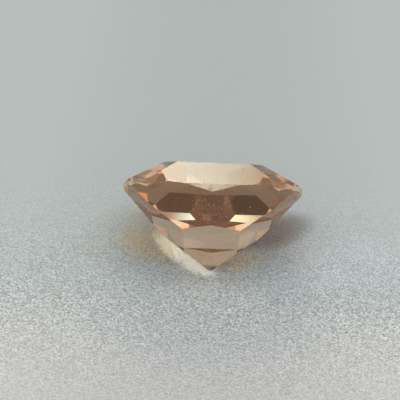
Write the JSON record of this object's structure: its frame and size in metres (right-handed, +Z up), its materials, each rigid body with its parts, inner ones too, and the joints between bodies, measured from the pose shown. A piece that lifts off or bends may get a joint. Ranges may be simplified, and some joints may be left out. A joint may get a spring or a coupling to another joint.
{
  "type": "cushion cut morganite gemstone",
  "caption": "Loose faceted morganite, cushion cut, peach pink and transparent, lying tipped back on a lower facet.",
  "frame": {"origin": "middle of the footprint's box, on the surface that the stone lies on", "axes": "+X along the stone's width, -Y towards the side where the point of the pavilion shows, +Z up"},
  "size_m": [0.01, 0.009, 0.0067],
  "materials": {
    "morganite": "polished"
  },
  "bodies": {
    "root": {"stone": "morganite"}
  },
  "joints": []
}
